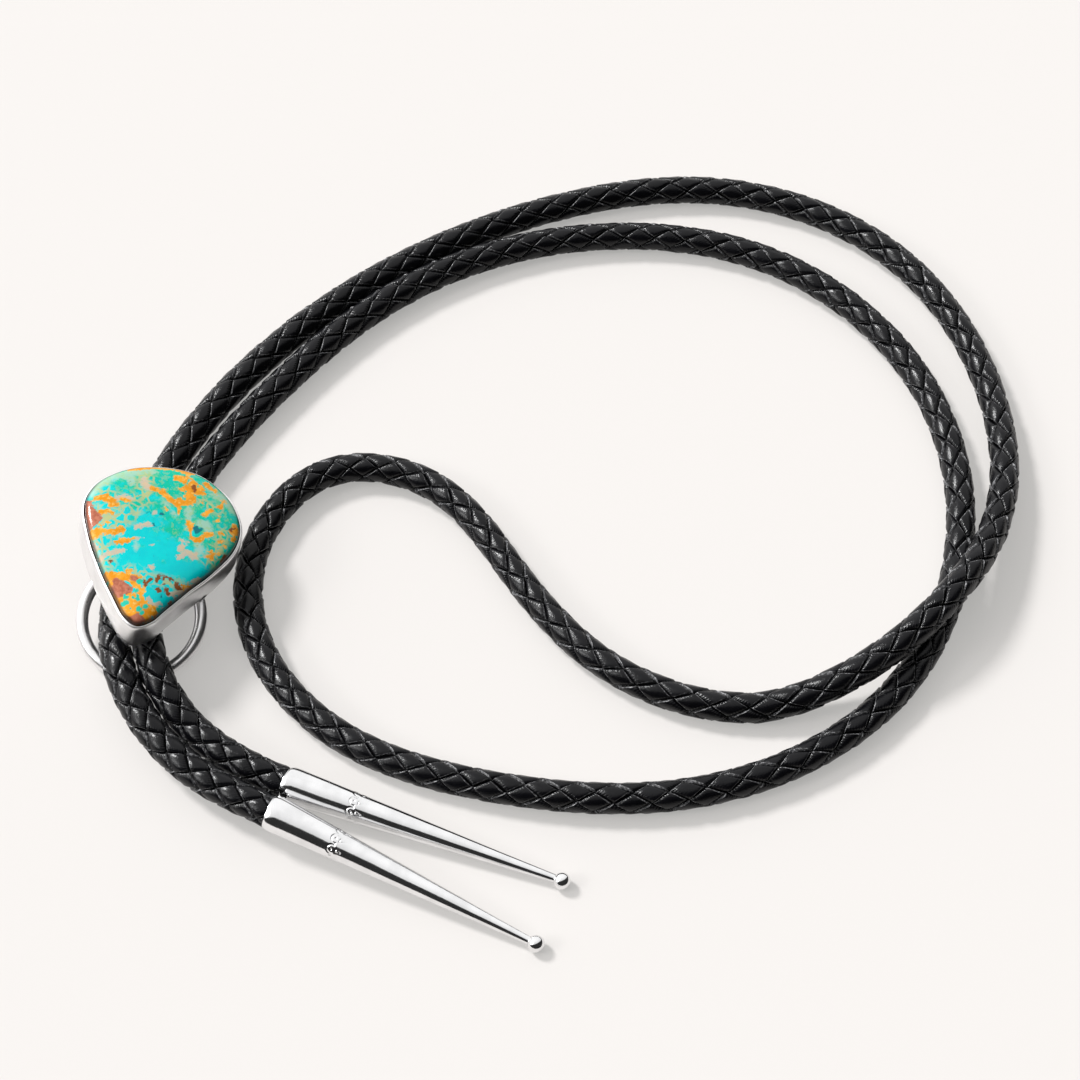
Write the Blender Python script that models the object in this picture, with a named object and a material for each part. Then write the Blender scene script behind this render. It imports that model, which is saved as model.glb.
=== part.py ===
"""Bolo tie laid on a table: a turquoise slide, one braided leather cord and two silver tips.

Metres, +Z up. The origin is under the middle of the slide, on the table. The slide's point
looks along -Y, and the cord's big loops lie to the +X side.
"""
import math

import bmesh
import bpy
import numpy as np
from mathutils import Matrix, Vector

# Gap between neighbouring pieces
GAP = 0.0003

# Stone: a low cabochon, seen from above as a rounded shield with its point down
STONE_WIDTH = 0.0280
STONE_HEIGHT = 0.0336
STONE_DOME = 0.0022
STONE_GIRDLE = 0.0003
DOME_SQUARENESS = 2.7
# Rings of the dome, as shares of the outline
DOME_RINGS = (0.985, 0.955, 0.90, 0.80, 0.65, 0.45, 0.22)

# Bezel cup and its back plate
CUP_WALL = 0.00035
CUP_DEPTH = 0.0061
BACK_PLATE = 0.0010
CUP_EDGE = 0.00025
RIM_EDGE = 0.00012

# Wire ring soldered behind the plate
RING_DIAMETER = 0.0215
RING_WIRE = 0.0023
RING_SLOPE = math.radians(18.0)
SOLDER_BITE = 0.00015
SOLDER_RADIUS = 0.0017
SOLDER_ANGLES = (math.radians(20.0), math.radians(62.0))
# A solder fillet from the wire's middle up into the plate: share of the rise, share of the radius
SOLDER_PROFILE = (
    (0.0, 0.59),
    (0.45, 0.62),
    (0.72, 1.0),
    (1.0, 1.0),
)

# How the slide lies: its left side is lifted, and the ring's middle lies below the plate's
SLIDE_ROLL = math.radians(14.0)
RING_OFFSET_X = -0.0025
RING_OFFSET_Y = -0.0084
SEAT_ANGLE = math.radians(48.0)

# Tips: hollow cones with a ball on the end
TIP_LENGTH = 0.0525
TIP_MOUTH_DIAMETER = 0.0066
TIP_NECK_DIAMETER = 0.0015
TIP_BALL_DIAMETER = 0.0030
TIP_WALL = 0.00035
TIP_LIP = 0.00012
FAR_TIP_MOUTH = (0.0249, -0.0400)
FAR_TIP_HEADING = math.radians(-20.2)
# The near tip's mouth lies against the far one's and a little higher
NEAR_TIP_HEADING = math.radians(-26.4)
NEAR_TIP_LIFT = 0.0019
MOUTH_TO_MOUTH_HEADING = math.radians(-108.4)
MOUTH_CLEARANCE = 0.00042

# Cord
CORD_DIAMETER = 0.0055
CORD_IN_TIP = 0.0070
CORD_PINCH = 0.0023
CORD_POINTS = 78
# Extra share of the tube's points for each radian that the cord turns
TURN_SPREAD = 0.02

# The cord's way from the near tip to the far tip, point by point along its middle: x, y and
# how far its underside is lifted off the table
CORD_ROUTE = (
    (0.0091, -0.0386, 0.0022),
    (-0.0014, -0.0273, 0.0025),
    (-0.0061, -0.0175, 0.0031),
    (-0.0083, -0.0015, 0.0002),
    (-0.0019, 0.0260, 0.0),
    (0.0205, 0.0594, 0.0),
    (0.0452, 0.0793, 0.0),
    (0.0745, 0.0928, 0.0),
    (0.1060, 0.0966, 0.0),
    (0.1366, 0.0831, 0.0),
    (0.1549, 0.0519, 0.0),
    (0.1541, 0.0142, 0.0026),
    (0.1418, -0.0062, 0.0062),
    (0.1263, -0.0190, 0.0042),
    (0.1057, -0.0248, 0.0),
    (0.0818, -0.0166, 0.0),
    (0.0639, 0.0041, 0.0),
    (0.0470, 0.0240, 0.0),
    (0.0296, 0.0262, 0.0),
    (0.0171, 0.0116, 0.0),
    (0.0173, -0.0095, 0.0),
    (0.0323, -0.0293, 0.0),
    (0.0608, -0.0404, 0.0),
    (0.0983, -0.0410, 0.0),
    (0.1304, -0.0237, 0.0),
    (0.1460, 0.0052, 0.0),
    (0.1428, 0.0482, 0.0),
    (0.1150, 0.0782, 0.0),
    (0.0763, 0.0838, 0.0),
    (0.0434, 0.0713, 0.0),
    (0.0180, 0.0460, 0.0),
    (0.0025, 0.0203, 0.0),
    (-0.0023, 0.0000, 0.0001),
    (0.0001, -0.0176, 0.0031),
    (0.0040, -0.0248, 0.0018),
    (0.0083, -0.0297, 0.0006),
)

# Stone outline, from the top round to the right: across, up, as shares of half the width
# and half the height
STONE_OUTLINE = (
    (0.11, 1.00),
    (0.48, 0.93),
    (0.81, 0.71),
    (0.98, 0.42),
    (0.96, 0.13),
    (0.76, -0.17),
    (0.44, -0.48),
    (0.15, -0.77),
    (0.00, -0.92),
    (-0.18, -1.00),
    (-0.33, -0.92),
    (-0.46, -0.75),
    (-0.70, -0.38),
    (-0.90, 0.03),
    (-0.99, 0.33),
    (-0.96, 0.55),
    (-0.78, 0.77),
    (-0.40, 0.95),
)

# How finely the pieces are faceted
OUTLINE_SIDES = 54
RING_SIDES = 12
RING_STEPS = 56
TIP_SIDES = 24
TIP_RINGS = (0.25, 0.5, 0.75)
BALL_RINGS = 7
BALL_CAP = math.radians(20.0)
SHARP_EDGE = math.radians(35.0)
# Samples of a smooth curve: between two outline points, and along the whole cord
OUTLINE_SAMPLES = 20
ROUTE_SAMPLES = 4000


def clear_scene():
    for obj in list(bpy.data.objects):
        bpy.data.objects.remove(obj, do_unlink=True)


def material(name, color, roughness, metallic):
    mat = bpy.data.materials.new(name)
    mat.use_nodes = True
    shader = mat.node_tree.nodes["Principled BSDF"]
    shader.inputs["Base Color"].default_value = (*color, 1.0)
    shader.inputs["Roughness"].default_value = roughness
    shader.inputs["Metallic"].default_value = metallic
    return mat


def add_object(name, mesh, mat=None):
    obj = bpy.data.objects.new(name, mesh)
    bpy.context.scene.collection.objects.link(obj)
    mesh.shade_smooth()
    mesh.set_sharp_from_angle(angle=SHARP_EDGE)
    if mat:
        mesh.materials.append(mat)
    return obj


def closed_mesh(name, rings, end_point=None):
    """Skin of rings of points in order, with flat caps or with one point at the end."""
    bm = bmesh.new()
    loops = [[bm.verts.new(p) for p in ring] for ring in rings]
    count = len(loops[0])
    for low, high in zip(loops, loops[1:]):
        for i in range(count):
            j = (i + 1) % count
            bm.faces.new((low[i], low[j], high[j], high[i]))
    bm.faces.new(loops[0])
    if end_point is None:
        bm.faces.new(loops[-1])
    else:
        point = bm.verts.new(end_point)
        for i in range(count):
            bm.faces.new((loops[-1][i], loops[-1][(i + 1) % count], point))
    bmesh.ops.recalc_face_normals(bm, faces=bm.faces)
    mesh = bpy.data.meshes.new(name)
    bm.to_mesh(mesh)
    bm.free()
    return mesh


def stone_outline(grow):
    """The stone's outline as evenly spread points, moved outwards by grow."""
    shares = np.array(STONE_OUTLINE)
    corners = shares * (STONE_WIDTH / 2, STONE_HEIGHT / 2)
    count = len(corners)
    fine = []
    for i in range(count):
        a, b, c, d = (corners[(i + k) % count] for k in (-1, 0, 1, 2))
        for t in np.linspace(0.0, 1.0, OUTLINE_SAMPLES, endpoint=False):
            fine.append(
                0.5 * (2 * b + (c - a) * t + (2 * a - 5 * b + 4 * c - d) * t**2
                       + (3 * b - a - 3 * c + d) * t**3)
            )
    fine = np.array(fine)
    steps = np.linalg.norm(np.roll(fine, -1, axis=0) - fine, axis=1)
    length = np.concatenate(([0.0], np.cumsum(steps)))
    fine = np.vstack((fine, fine[:1]))
    want = np.linspace(0.0, length[-1], OUTLINE_SIDES, endpoint=False)
    even = np.stack([np.interp(want, length, fine[:, k]) for k in (0, 1)], axis=1)
    along = np.roll(even, -1, axis=0) - np.roll(even, 1, axis=0)
    along /= np.linalg.norm(along, axis=1)[:, None]
    outwards = np.stack((-along[:, 1], along[:, 0]), axis=1)
    return even + grow * outwards


def level(outline, height):
    return [Vector((x, y, height)) for x, y in outline]


def plate_to_world(mesh, shift):
    """From the back plate's own frame, underside at zero, to where the slide lies."""
    mesh.transform(Matrix.Rotation(SLIDE_ROLL, 4, "Y"))
    mesh.transform(Matrix.Translation(shift))


def ring_point(angle):
    """A point on the ring wire's middle, with the ring's lowest wire on the table."""
    radius = RING_DIAMETER / 2
    height = RING_WIRE / 2 + radius * math.sin(RING_SLOPE) * (1 + math.sin(angle))
    return Vector((
        RING_OFFSET_X + radius * math.cos(angle),
        RING_OFFSET_Y + radius * math.cos(RING_SLOPE) * math.sin(angle),
        height,
    ))


def plate_middle():
    """The middle of the plate's underside, which rests on the ring wire at the seat."""
    up = Matrix.Rotation(SLIDE_ROLL, 3, "Y") @ Vector((0, 0, 1))
    seat = ring_point(SEAT_ANGLE) + up * (RING_WIRE / 2 - SOLDER_BITE)
    return Vector((0, 0, seat.dot(up) / up.z))


def make_stone(mat):
    """Flat back, straight side, and a dome whose edge is rounder than its crown."""
    base = BACK_PLATE + GAP
    side_top = CUP_DEPTH + STONE_GIRDLE
    outline = stone_outline(0.0)
    rings = [level(outline, base), level(outline, side_top)]
    for share in DOME_RINGS:
        rise = (1 - share**DOME_SQUARENESS) ** (1 / DOME_SQUARENESS)
        rings.append(level(outline * share, side_top + STONE_DOME * rise))
    top = Vector((0, 0, side_top + STONE_DOME))
    return add_object("stone", closed_mesh("stone", rings, end_point=top), mat)


def make_cup(mat):
    """Bezel wall and back plate as one turned-up cup."""
    inner = stone_outline(GAP)
    outer = stone_outline(GAP + CUP_WALL)
    rings = [
        level(stone_outline(GAP + CUP_WALL - CUP_EDGE), 0.0),
        level(outer, CUP_EDGE),
        level(outer, CUP_DEPTH - RIM_EDGE),
        level(stone_outline(GAP + CUP_WALL - RIM_EDGE), CUP_DEPTH),
        level(inner, CUP_DEPTH),
        level(inner, BACK_PLATE),
    ]
    return add_object("bezel_setting", closed_mesh("bezel_setting", rings), mat)


def make_ring():
    bm = bmesh.new()
    wire = RING_WIRE / 2
    slope = Matrix.Rotation(RING_SLOPE, 3, "X")
    loops = []
    for i in range(RING_STEPS):
        turn = 2 * math.pi * i / RING_STEPS
        outwards = slope @ Vector((math.cos(turn), math.sin(turn), 0))
        up = slope @ Vector((0, 0, 1))
        loop = []
        for j in range(RING_SIDES):
            around = 2 * math.pi * j / RING_SIDES + RING_SLOPE
            offset = outwards * math.cos(around) + up * math.sin(around)
            loop.append(bm.verts.new(ring_point(turn) + wire * offset))
        loops.append(loop)
    for low, high in zip(loops, loops[1:] + loops[:1]):
        for j in range(RING_SIDES):
            k = (j + 1) % RING_SIDES
            bm.faces.new((low[j], low[k], high[k], high[j]))
    bmesh.ops.recalc_face_normals(bm, faces=bm.faces)
    mesh = bpy.data.meshes.new("ring")
    bm.to_mesh(mesh)
    bm.free()
    return add_object("ring", mesh)


def make_fillet(name, angle):
    """A cone of solder from the ring wire up into the back plate."""
    up = Matrix.Rotation(SLIDE_ROLL, 3, "Y") @ Vector((0, 0, 1))
    foot = ring_point(angle)
    rise = (plate_middle() - foot).dot(up) + BACK_PLATE / 2
    turn = Matrix.Rotation(SLIDE_ROLL, 3, "Y")
    rings = []
    for rise_share, radius_share in SOLDER_PROFILE:
        radius = SOLDER_RADIUS * radius_share
        ring = []
        for k in range(RING_SIDES):
            around = 2 * math.pi * k / RING_SIDES
            flat = (radius * math.cos(around), radius * math.sin(around), rise * rise_share)
            ring.append(foot + turn @ Vector(flat))
        rings.append(ring)
    return add_object(name, closed_mesh(name, rings))


def join_to(target, tools):
    """Solder the tools to the target with exact unions, and keep the tools as hidden guides."""
    for tool in tools:
        tool.hide_render = True
        tool.display_type = "WIRE"
        union = target.modifiers.new(tool.name, "BOOLEAN")
        union.operation = "UNION"
        union.solver = "EXACT"
        union.object = tool


def slide_middle(pieces):
    """The middle, seen from above, of all that the slide is made of."""
    bpy.context.view_layer.update()
    points = np.array([obj.matrix_world @ v.co for obj in pieces for v in obj.data.vertices])
    low, high = points.min(axis=0), points.max(axis=0)
    return Vector(((low[0] + high[0]) / 2, (low[1] + high[1]) / 2, 0))


def make_slide(stone_mat, silver_mat):
    stone = make_stone(stone_mat)
    cup = make_cup(silver_mat)
    for piece in (stone, cup):
        plate_to_world(piece.data, plate_middle())
    ring = make_ring()
    fillets = [make_fillet(f"solder_{i}", angle) for i, angle in enumerate(SOLDER_ANGLES)]
    middle = slide_middle([stone, cup, ring])
    for piece in [stone, cup, ring] + fillets:
        piece.data.transform(Matrix.Translation(-middle))
    join_to(cup, [ring] + fillets)


def tip_radius(s):
    """Outer radius of the plain cone at the distance s from the mouth."""
    cone = TIP_LENGTH - TIP_BALL_DIAMETER
    share = s / cone
    return (TIP_MOUTH_DIAMETER * (1 - share) + TIP_NECK_DIAMETER * share) / 2


def near_tip_mouth():
    """Beside the far tip's mouth, one mouth's width and a clearance away."""
    apart = TIP_MOUTH_DIAMETER + MOUTH_CLEARANCE
    flat = math.sqrt(apart**2 - NEAR_TIP_LIFT**2)
    return (
        FAR_TIP_MOUTH[0] + flat * math.cos(MOUTH_TO_MOUTH_HEADING),
        FAR_TIP_MOUTH[1] + flat * math.sin(MOUTH_TO_MOUTH_HEADING),
    )


def tip_pose(mouth, heading, lift):
    """Middle of the mouth and direction to the ball, with the ball resting on the table."""
    height = TIP_MOUTH_DIAMETER / 2 + lift
    to_ball = TIP_LENGTH - TIP_BALL_DIAMETER / 2
    pitch = math.asin((height - TIP_BALL_DIAMETER / 2) / to_ball)
    flat = math.cos(pitch)
    axis = Vector((flat * math.cos(heading), flat * math.sin(heading), -math.sin(pitch)))
    return Vector((mouth[0], mouth[1], height)), axis


def make_tip(name, pose, mat):
    """Turned profile: blind bore, rounded lip, long cone, neck and ball."""
    mouth, axis = pose
    bore = CORD_IN_TIP + GAP
    lip = TIP_MOUTH_DIAMETER / 2
    ball = TIP_BALL_DIAMETER / 2
    ball_middle = TIP_LENGTH - ball
    neck_turn = math.asin(TIP_NECK_DIAMETER / TIP_BALL_DIAMETER)
    profile = [
        (bore, tip_radius(bore) - TIP_WALL),
        (TIP_LIP, lip - TIP_WALL),
        (0.0, lip - TIP_WALL + TIP_LIP),
        (0.0, lip - TIP_LIP),
        (TIP_LIP, lip),
    ]
    for share in TIP_RINGS:
        profile.append((ball_middle * share, tip_radius(ball_middle * share)))
    for turn in np.linspace(neck_turn, math.pi - BALL_CAP, BALL_RINGS):
        profile.append((ball_middle - ball * math.cos(turn), ball * math.sin(turn)))
    side = axis.cross(Vector((0, 0, 1))).normalized()
    up = side.cross(axis)
    rings = []
    for s, radius in profile:
        ring = []
        for k in range(TIP_SIDES):
            around = 2 * math.pi * (k + 0.5) / TIP_SIDES
            offset = side * math.cos(around) + up * math.sin(around)
            ring.append(mouth + axis * float(s) + float(radius) * offset)
        rings.append(ring)
    end = mouth + axis * TIP_LENGTH
    return add_object(name, closed_mesh(name, rings, end_point=end), mat)


def smooth_curve(points):
    """Even bends seen from above, and heights that never swing past those of the points."""
    points = np.array(points, dtype=float)
    gaps = np.linalg.norm(np.diff(points, axis=0), axis=1)
    knots = np.concatenate(([0.0], np.cumsum(gaps)))
    slopes = np.diff(points, axis=0) / gaps[:, None]
    count = len(points)
    matrix = np.eye(count)
    right = np.zeros((count, 2))
    climb = np.concatenate((slopes[:1, 2], np.zeros(count - 2), slopes[-1:, 2]))
    for i in range(1, count - 1):
        matrix[i, i - 1:i + 2] = gaps[i - 1], 2 * (gaps[i - 1] + gaps[i]), gaps[i]
        right[i] = 6 * (slopes[i, :2] - slopes[i - 1, :2])
        before, after = slopes[i - 1, 2], slopes[i, 2]
        if before * after > 0:
            climb[i] = 2 * before * after / (before + after)
    bend = np.linalg.solve(matrix, right)
    want = np.linspace(0.0, knots[-1], ROUTE_SAMPLES)
    i = np.clip(np.searchsorted(knots, want, side="right") - 1, 0, count - 2)
    gap = gaps[i][:, None]
    to_end = knots[i + 1][:, None] - want[:, None]
    from_start = want[:, None] - knots[i][:, None]
    plan = (bend[i] * to_end**3 + bend[i + 1] * from_start**3) / (6 * gap)
    plan += (points[i, :2] / gap - bend[i] * gap / 6) * to_end
    plan += (points[i + 1, :2] / gap - bend[i + 1] * gap / 6) * from_start
    u = (want - knots[i]) / gaps[i]
    height = points[i, 2] * (1 - u)**2 * (1 + 2 * u) + points[i + 1, 2] * u**2 * (3 - 2 * u)
    height += gaps[i] * u * (1 - u) * (climb[i] * (1 - u) - climb[i + 1] * u)
    samples = np.column_stack((plan, height))
    steps = np.linalg.norm(np.diff(samples, axis=0), axis=1)
    return samples, np.concatenate(([0.0], np.cumsum(steps)))


def cord_points(near_pose, far_pose):
    """The whole route: into one tip, along the table, and into the other."""
    near_mouth, near_axis = near_pose
    far_mouth, far_axis = far_pose
    table = [Vector((x, y, CORD_DIAMETER / 2 + lift)) for x, y, lift in CORD_ROUTE]
    return [near_mouth + near_axis * CORD_IN_TIP, near_mouth, *table,
            far_mouth, far_mouth + far_axis * CORD_IN_TIP]


def make_cord(near_pose, far_pose, mat):
    """One tube along the route, pinched where its ends are pressed into the tips."""
    samples, length = smooth_curve(cord_points(near_pose, far_pose))
    headings = np.diff(samples, axis=0) / np.diff(length)[:, None]
    turned = np.cumsum(np.linalg.norm(np.diff(headings, axis=0), axis=1))
    spread = length + TURN_SPREAD * np.concatenate(([0.0], turned, turned[-1:]))
    ends = np.interp((CORD_IN_TIP, length[-1] - CORD_IN_TIP), length, spread)
    stations = np.interp(np.linspace(*ends, CORD_POINTS), spread, length)
    stations = np.concatenate(([0.0], stations, [length[-1]]))
    data = bpy.data.curves.new("cord", "CURVE")
    data.dimensions = "3D"
    data.twist_mode = "Z_UP"
    data.bevel_depth = CORD_DIAMETER / 2
    data.bevel_resolution = 4
    data.use_fill_caps = True
    spline = data.splines.new("POLY")
    spline.points.add(len(stations) - 1)
    for point, s in zip(spline.points, stations):
        place = [np.interp(s, length, samples[:, k]) for k in range(3)]
        point.co = (*place, 1.0)
    for point in (spline.points[0], spline.points[-1]):
        point.radius = CORD_PINCH / (CORD_DIAMETER / 2)
    for point in (spline.points[1], spline.points[-2]):
        point.radius = (TIP_MOUTH_DIAMETER / 2 - TIP_WALL - GAP) / (CORD_DIAMETER / 2)
    data.materials.append(mat)
    obj = bpy.data.objects.new("cord", data)
    bpy.context.scene.collection.objects.link(obj)
    return obj


clear_scene()
turquoise = material("turquoise", (0.05, 0.62, 0.66), 0.15, 0.0)
silver = material("silver", (0.80, 0.79, 0.78), 0.25, 1.0)
leather = material("leather", (0.02, 0.02, 0.022), 0.45, 0.0)
make_slide(turquoise, silver)
near_tip_pose = tip_pose(near_tip_mouth(), NEAR_TIP_HEADING, NEAR_TIP_LIFT)
far_tip_pose = tip_pose(FAR_TIP_MOUTH, FAR_TIP_HEADING, 0.0)
make_tip("near_tip", near_tip_pose, silver)
make_tip("far_tip", far_tip_pose, silver)
make_cord(near_tip_pose, far_tip_pose, leather)
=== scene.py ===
import math

import bpy
import numpy as np
from mathutils import Matrix, Vector


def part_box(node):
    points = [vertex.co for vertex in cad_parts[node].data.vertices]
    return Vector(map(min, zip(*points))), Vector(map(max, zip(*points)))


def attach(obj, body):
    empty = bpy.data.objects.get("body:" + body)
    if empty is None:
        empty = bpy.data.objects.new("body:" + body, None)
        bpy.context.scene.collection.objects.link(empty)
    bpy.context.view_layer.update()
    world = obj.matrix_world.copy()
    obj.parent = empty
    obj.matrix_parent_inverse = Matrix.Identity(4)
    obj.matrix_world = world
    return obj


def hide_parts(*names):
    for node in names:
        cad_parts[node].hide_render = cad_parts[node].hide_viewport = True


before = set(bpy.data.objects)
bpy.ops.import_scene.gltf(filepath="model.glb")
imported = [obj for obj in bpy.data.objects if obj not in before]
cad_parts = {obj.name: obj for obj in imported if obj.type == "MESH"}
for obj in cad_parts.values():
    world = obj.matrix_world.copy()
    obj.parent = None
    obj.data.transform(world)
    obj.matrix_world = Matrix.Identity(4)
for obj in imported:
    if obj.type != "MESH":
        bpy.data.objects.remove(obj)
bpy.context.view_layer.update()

# The camera. It stands on the wearer's side of the tie and looks down at it as the photograph
# does, at the middle of the picture on the table.
TABLE_MIDDLE = Vector((0.0690, 0.0125, 0.0))
VIEW_HEIGHT = math.radians(57.0)
VIEW_DISTANCE = 0.42506

camera_data = bpy.data.cameras.new("camera")
camera_data.lens = 75.6
camera_data.sensor_width = 36.0
camera_data.clip_start = 0.01
camera = bpy.data.objects.new("camera", camera_data)
bpy.context.scene.collection.objects.link(camera)
camera.location = TABLE_MIDDLE + VIEW_DISTANCE * Vector(
    (0.0, -math.cos(VIEW_HEIGHT), math.sin(VIEW_HEIGHT))
)
camera.rotation_euler = (math.pi / 2 - VIEW_HEIGHT, 0.0, 0.0)
bpy.context.scene.camera = camera
bpy.context.scene.view_settings.view_transform = "Standard"

# The cord. One black leather cord, braided from eight flat laces over a round core, 5.5 mm thick.
# It runs from the near tip through the slide, round both loops, back through the slide and
# into the far tip, and it lies on the table where nothing holds it up.
CORD_DIAMETER = 0.0055
CORD_IN_TIP = 0.0070
ROUTE_SAMPLES = 4000
CORD_ROUTE = (
    (0.0091, -0.0386, 0.0022),
    (-0.0014, -0.0273, 0.0025),
    (-0.0061, -0.0175, 0.0031),
    (-0.0083, -0.0015, 0.0002),
    (-0.0019, 0.0260, 0.0),
    (0.0205, 0.0594, 0.0),
    (0.0452, 0.0793, 0.0),
    (0.0745, 0.0928, 0.0),
    (0.1060, 0.0966, 0.0),
    (0.1366, 0.0831, 0.0),
    (0.1549, 0.0519, 0.0),
    (0.1541, 0.0142, 0.0026),
    (0.1418, -0.0062, 0.0062),
    (0.1263, -0.0190, 0.0042),
    (0.1057, -0.0248, 0.0),
    (0.0818, -0.0166, 0.0),
    (0.0639, 0.0041, 0.0),
    (0.0470, 0.0240, 0.0),
    (0.0296, 0.0262, 0.0),
    (0.0171, 0.0116, 0.0),
    (0.0173, -0.0095, 0.0),
    (0.0323, -0.0293, 0.0),
    (0.0608, -0.0404, 0.0),
    (0.0983, -0.0410, 0.0),
    (0.1304, -0.0237, 0.0),
    (0.1460, 0.0052, 0.0),
    (0.1428, 0.0482, 0.0),
    (0.1150, 0.0782, 0.0),
    (0.0763, 0.0838, 0.0),
    (0.0434, 0.0713, 0.0),
    (0.0180, 0.0460, 0.0),
    (0.0025, 0.0203, 0.0),
    (-0.0023, 0.0000, 0.0001),
    (0.0001, -0.0176, 0.0031),
    (0.0040, -0.0248, 0.0018),
    (0.0083, -0.0297, 0.0006),
)
# The mouths of the two tips that the cord is glued into, and the way each one points
TIP_LENGTH = 0.0525
TIP_MOUTH = 0.0066
TIP_BALL = 0.0030
FAR_TIP_MOUTH = (0.0249, -0.0400)
FAR_TIP_HEADING = math.radians(-20.2)
NEAR_TIP_HEADING = math.radians(-26.4)
NEAR_TIP_LIFT = 0.0019
MOUTH_TO_MOUTH = math.radians(-108.4)
MOUTH_CLEARANCE = 0.00042

# The braid: how the laces lie round the cord
LACES = 8
CROWN = 0.00284
LACE_DIVE = 0.00062
LACE_DOME = 0.00006
EDGE_ROLL = 0.00006
LACE_THICKNESS = 0.00060
CORE_RADIUS = 0.0021
CORE_SIDES = 8
CORE_RINGS = 260
# One scale of lace has its points at these shares of a crossing, along the lace and across it
ALONG = (-0.70, -0.54, -0.47, -0.40, -0.28, 0.28, 0.40, 0.47, 0.54, 0.70)
ACROSS = (-0.465, -0.457, -0.425, -0.22, 0.0, 0.22, 0.425, 0.457, 0.465)
# It is flat along its crown, dives under the next lace, and has rolled and then cut long edges,
# but nothing of it lies lower than a share of the crown's height
CROWN_END = 0.28
DIVE_OVER = 0.22
DEEPEST_DIVE = 1.5
ROLL_FROM = 0.45
WALL_FROM = 0.46
LOWEST = 0.4
# Hand braiding is a little uneven: in place, in turn, in height and in tilt
BRAID_SEED = 11
UNEVEN_PLACE = 0.012
UNEVEN_TURN = 1.3
UNEVEN_HEIGHT = 0.00005
UNEVEN_TILT = 0.00005
# The cord is pinched to this share of its thickness inside the tips
PINCH = 0.85
# The leather's colours: its two blacks, the palest lace, painted shade in the crevices between laces,
# and its edges, partly pale cut leather and partly painted highlight
BLACKS = ((0.0010, 0.0010, 0.0014), (0.0024, 0.0024, 0.0032))
PALE_LACE = (0.004, 0.004, 0.0052)
PAINTED_CREVICE_SHADE = (0.0006, 0.0006, 0.0008)
CUT_EDGE_AND_HIGHLIGHT = (0.050, 0.050, 0.052)
SCUFFS_AND_EDGE_HIGHLIGHT = (0.30, 0.30, 0.31)
# How the braid changes on its way: point of the route, turn about the cord's middle in degrees,
# and the length of one crossing in millimetres
BRAID_WAY = (
    (0, 19, 5.6),
    (2, 20, 5.8),
    (4, -8, 6.6),
    (5, 6, 6.5),
    (6, 6, 6.5),
    (7, 8, 6.4),
    (8, 2, 6.3),
    (9, -9, 6.3),
    (10, -10, 6.3),
    (11, -30, 6.3),
    (12, -20, 6.5),
    (13, -29, 6.7),
    (14, -30, 6.7),
    (15, -49, 6.7),
    (16, -40, 6.3),
    (17, -38, 5.9),
    (18, -32, 5.6),
    (20, -47, 5.7),
    (21, -48, 5.8),
    (22, -50, 5.9),
    (23, -35, 6.6),
    (24, -39, 6.7),
    (25, -66, 6.4),
    (26, -76, 6.3),
    (27, -87, 6.3),
    (28, -95, 6.4),
    (30, -79, 6.5),
    (31, -77, 6.4),
    (33, -97, 5.8),
    (35, -98, 5.6),
)
# The cord bulges a little where its two strands are pressed against each other: point of the
# route, and the share of the full bulge there
SWELL = 0.05
FULL_WAY = (
    (0, 1), (2, 1), (3, 0), (4, 0.6), (6, 1), (7, 0),
    (28, 0), (29, 1), (31, 0.6), (32, 0), (33, 1), (35, 1),
)


def tip_pose(mouth, heading, lift):
    """Middle of a tip's mouth and its direction to the ball, which rests on the table."""
    height = TIP_MOUTH / 2 + lift
    pitch = math.asin((height - TIP_BALL / 2) / (TIP_LENGTH - TIP_BALL / 2))
    flat = math.cos(pitch)
    axis = Vector((flat * math.cos(heading), flat * math.sin(heading), -math.sin(pitch)))
    return Vector((*mouth, height)), axis


def near_tip_mouth():
    """Beside the far tip's mouth, one mouth's width and a clearance away."""
    apart = TIP_MOUTH + MOUTH_CLEARANCE
    flat = math.sqrt(apart**2 - NEAR_TIP_LIFT**2)
    return (
        FAR_TIP_MOUTH[0] + flat * math.cos(MOUTH_TO_MOUTH),
        FAR_TIP_MOUTH[1] + flat * math.sin(MOUTH_TO_MOUTH),
    )


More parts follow.
